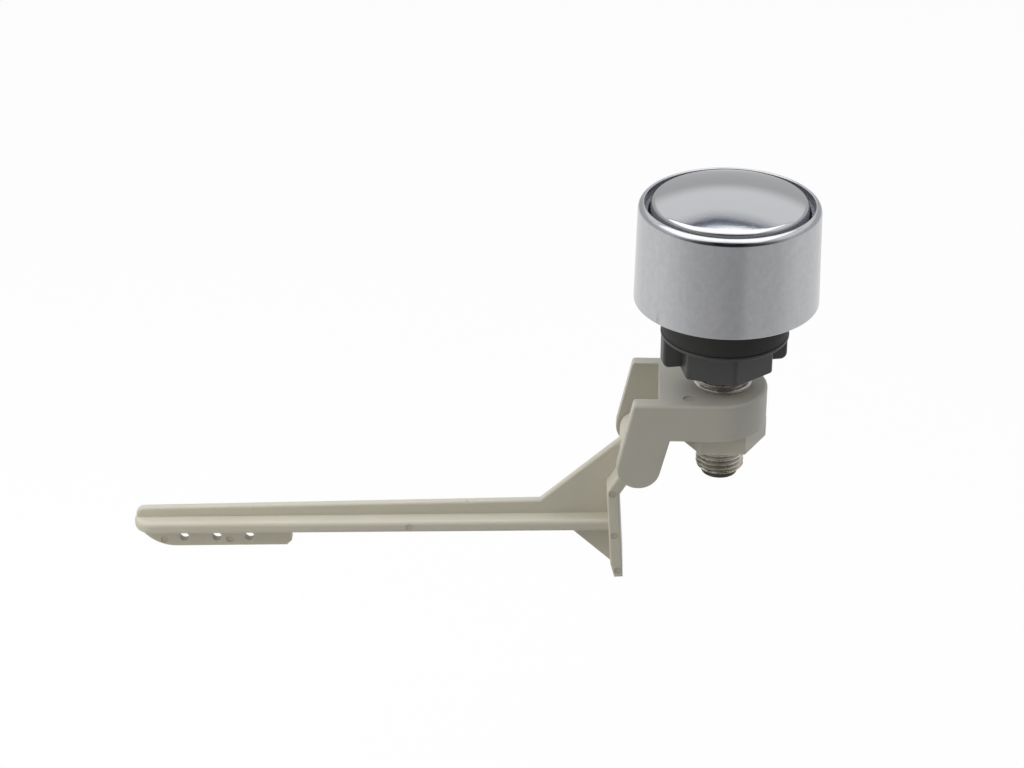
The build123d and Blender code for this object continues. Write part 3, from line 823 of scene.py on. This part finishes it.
from_peak = add_node(tree, "ShaderNodeMath", {
    0: aside.outputs[0], 1: card_slope, 2: past_lamp.outputs["Value"],
}, operation="MULTIPLY_ADD")
before_lamp = add_node(tree, "ShaderNodeMath", {
    0: past_lamp.outputs["Value"], 1: lamp_slack,
}, operation="LESS_THAN")
off_card = add_node(tree, "ShaderNodeMath", {
    0: from_peak.outputs[0], 1: before_lamp.outputs[0],
}, operation="ADD")
card = add_ramp(tree, off_card.outputs[0], [
    (0.0, (0.42, 0.46, 0.56)), (0.05, (0.34, 0.38, 0.47)), (0.1, (0.1, 0.115, 0.15)),
    (0.15, (0.62, 0.64, 0.69)), (0.26, (0.98, 0.985, 1.0)),
])
rays = add_node(tree, "ShaderNodeLightPath").outputs
surround = add_node(tree, "ShaderNodeBackground", {
    "Color": card.outputs["Color"], "Strength": wall_level.outputs[0],
})
backdrop = add_node(tree, "ShaderNodeBackground", {"Color": (1.0, 1.0, 1.0, 1.0), "Strength": 1.0})
to_camera = add_node(tree, "ShaderNodeMixShader", {
    0: rays["Is Camera Ray"], 1: surround.outputs[0], 2: backdrop.outputs[0],
})
add_node(tree, "ShaderNodeOutputWorld", {"Surface": to_camera.outputs[0]})

lamp_height, lamp_width, lamp_aside, lamp_front, lamp_back, lamp_power = 0.9, 2.0, -0.3, -0.8, 0.495, 6.9
lamp_data = bpy.data.lights.new("overhead_lamp", "AREA")
lamp_data.shape = "RECTANGLE"
lamp_data.size = lamp_width
lamp_data.size_y = lamp_back - lamp_front
lamp_data.energy = lamp_power
lamp = bpy.data.objects.new("overhead_lamp", lamp_data)
lamp.location = (lamp_aside, (lamp_front + lamp_back) / 2, lamp_height)
lamp.visible_camera = False
bpy.context.scene.collection.objects.link(lamp)

fill_size, fill_power, fill_tint = 0.25, 0.36, (1.0, 0.92, 0.77)
fill_place, fill_aim = Vector((-0.33, -0.2, 0.02)), Vector((-0.1, 0.0, -0.06))
fill_data = bpy.data.lights.new("left_fill", "AREA")
fill_data.size = fill_size
fill_data.energy = fill_power
fill_data.color = fill_tint
fill = bpy.data.objects.new("left_fill", fill_data)
fill.location = fill_place
fill.rotation_euler = (fill_aim - fill.location).to_track_quat("-Z", "Y").to_euler()
fill.visible_camera = False
fill.visible_glossy = False
bpy.context.scene.collection.objects.link(fill)


# Camera: at the photograph's angle, looking down a little on the front of the object.
# Its place, aim and focal length were fitted to the bezel in the photograph,
# and the sizes were measured through it.
camera_data = bpy.data.cameras.new("camera")
camera_data.sensor_width = 36.0
camera_data.lens = 92.53
camera = bpy.data.objects.new("camera", camera_data)
camera.location = Vector((-33.958, -574.154, 283.589)) * mm
aim = Vector((-51.950, -1.633, -23.649)) * mm
camera.rotation_euler = (aim - camera.location).to_track_quat("-Z", "Y").to_euler()
bpy.context.scene.collection.objects.link(camera)
bpy.context.scene.camera = camera
bpy.context.scene.view_settings.view_transform = "Standard"
